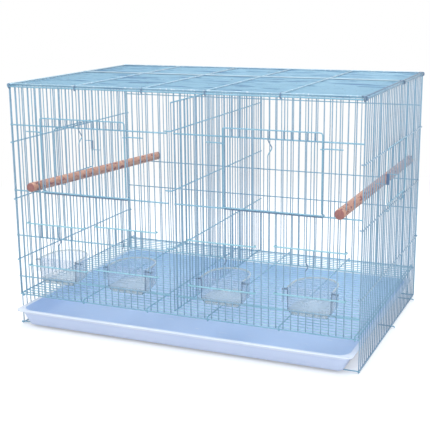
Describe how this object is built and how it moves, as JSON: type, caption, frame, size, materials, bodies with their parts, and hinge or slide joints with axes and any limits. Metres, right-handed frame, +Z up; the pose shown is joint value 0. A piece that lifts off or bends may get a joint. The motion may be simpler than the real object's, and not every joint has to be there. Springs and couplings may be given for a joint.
{
  "type": "bird cage",
  "caption": "Pale blue wire double breeding cage for small birds, with sliding doors, clear feeder cups, perches, a divider, nest doors and a pull-out tray.",
  "frame": {"origin": "middle of the bottom of the box round the whole part at rest, level with the undersides of the side panels' bottom rails", "axes": "+X to the right as the front is seen, +Y from the front to the back, +Z up"},
  "size_m": [0.6492, 0.4395, 0.4252],
  "materials": {
    "coated_wire": "pale blue powder coat, satin",
    "clear_plastic": "clear moulded plastic, glossy",
    "perch_wood": "red-brown stained, satin",
    "tray_plastic": "pale lavender-blue moulded plastic, soft gloss",
    "latch_steel": "dark plated spring steel"
  },
  "bodies": {
    "cage": {"front_panel": "coated_wire", "back_panel": "coated_wire", "left_panel": "coated_wire", "right_panel": "coated_wire", "roof_panel": "coated_wire", "floor_grate": "coated_wire", "tray_runner_front": "coated_wire", "tray_runner_middle": "coated_wire", "tray_runner_back": "coated_wire"},
    "main_door_left": {"main_door_left": "coated_wire"},
    "main_door_right": {"main_door_right": "coated_wire"},
    "feeder_door_1": {"feeder_door_1": "coated_wire"},
    "feeder_door_2": {"feeder_door_2": "coated_wire"},
    "feeder_door_3": {"feeder_door_3": "coated_wire"},
    "feeder_door_4": {"feeder_door_4": "coated_wire"},
    "feeder_cup_1": {"feeder_cup_1": "clear_plastic"},
    "feeder_cup_2": {"feeder_cup_2": "clear_plastic"},
    "feeder_cup_3": {"feeder_cup_3": "clear_plastic"},
    "feeder_cup_4": {"feeder_cup_4": "clear_plastic"},
    "perch_left": {"perch_left": "perch_wood"},
    "perch_right": {"perch_right": "perch_wood"},
    "divider": {"divider": "coated_wire"},
    "tray": {"tray": "tray_plastic"},
    "nest_door_left": {"nest_door_left": "coated_wire"},
    "nest_latch_left": {"nest_latch_left": "latch_steel"},
    "nest_door_right": {"nest_door_right": "coated_wire"},
    "nest_latch_right": {"nest_latch_right": "latch_steel"}
  },
  "joints": [
    {"name": "main_door_left_slide", "type": "slide", "parent": "cage", "child": "main_door_left", "axis": [0, 0, 1], "range_m": [0, 0.095]},
    {"name": "main_door_right_slide", "type": "slide", "parent": "cage", "child": "main_door_right", "axis": [0, 0, 1], "range_m": [0, 0.095]},
    {"name": "feeder_door_1_slide", "type": "slide", "parent": "cage", "child": "feeder_door_1", "axis": [0, 0, 1], "range_m": [-0.0198, 0.0493]},
    {"name": "feeder_door_2_slide", "type": "slide", "parent": "cage", "child": "feeder_door_2", "axis": [0, 0, 1], "range_m": [-0.0253, 0.0438]},
    {"name": "feeder_door_3_slide", "type": "slide", "parent": "cage", "child": "feeder_door_3", "axis": [0, 0, 1], "range_m": [-0.0187, 0.0504]},
    {"name": "feeder_door_4_slide", "type": "slide", "parent": "cage", "child": "feeder_door_4", "axis": [0, 0, 1], "range_m": [-0.0229, 0.0462]},
    {"name": "feeder_cup_1_slide", "type": "slide", "parent": "cage", "child": "feeder_cup_1", "axis": [0, 0, 1], "range_m": [0, 0.03]},
    {"name": "feeder_cup_2_slide", "type": "slide", "parent": "cage", "child": "feeder_cup_2", "axis": [0, 0, 1], "range_m": [0, 0.03]},
    {"name": "feeder_cup_3_slide", "type": "slide", "parent": "cage", "child": "feeder_cup_3", "axis": [0, 0, 1], "range_m": [0, 0.03]},
    {"name": "feeder_cup_4_slide", "type": "slide", "parent": "cage", "child": "feeder_cup_4", "axis": [0, 0, 1], "range_m": [0, 0.03]},
    {"name": "perch_left_slide", "type": "slide", "parent": "cage", "child": "perch_left", "axis": [0, 0, 1], "range_m": [0, 0.07]},
    {"name": "perch_right_slide", "type": "slide", "parent": "cage", "child": "perch_right", "axis": [0, 0, 1], "range_m": [0, 0.07]},
    {"name": "divider_slide", "type": "slide", "parent": "cage", "child": "divider", "axis": [0, -1, 0], "range_m": [0, 0.38]},
    {"name": "tray_slide", "type": "slide", "parent": "cage", "child": "tray", "axis": [0, -1, 0], "range_m": [0, 0.36]},
    {"name": "nest_door_left_hinge", "type": "hinge", "parent": "cage", "child": "nest_door_left", "pos_m": [-0.305, 0.01083, 0.2261], "axis": [0, -1, 0], "range_deg": [0, 140]},
    {"name": "nest_latch_left_slide", "type": "slide", "parent": "nest_door_left", "child": "nest_latch_left", "axis": [0, 0, 1], "range_m": [0, 0.03]},
    {"name": "nest_door_right_hinge", "type": "hinge", "parent": "cage", "child": "nest_door_right", "pos_m": [0.305, 0.01083, 0.2261], "axis": [0, 1, 0], "range_deg": [0, 140]},
    {"name": "nest_latch_right_slide", "type": "slide", "parent": "nest_door_right", "child": "nest_latch_right", "axis": [0, 0, 1], "range_m": [0, 0.03]}
  ]
}
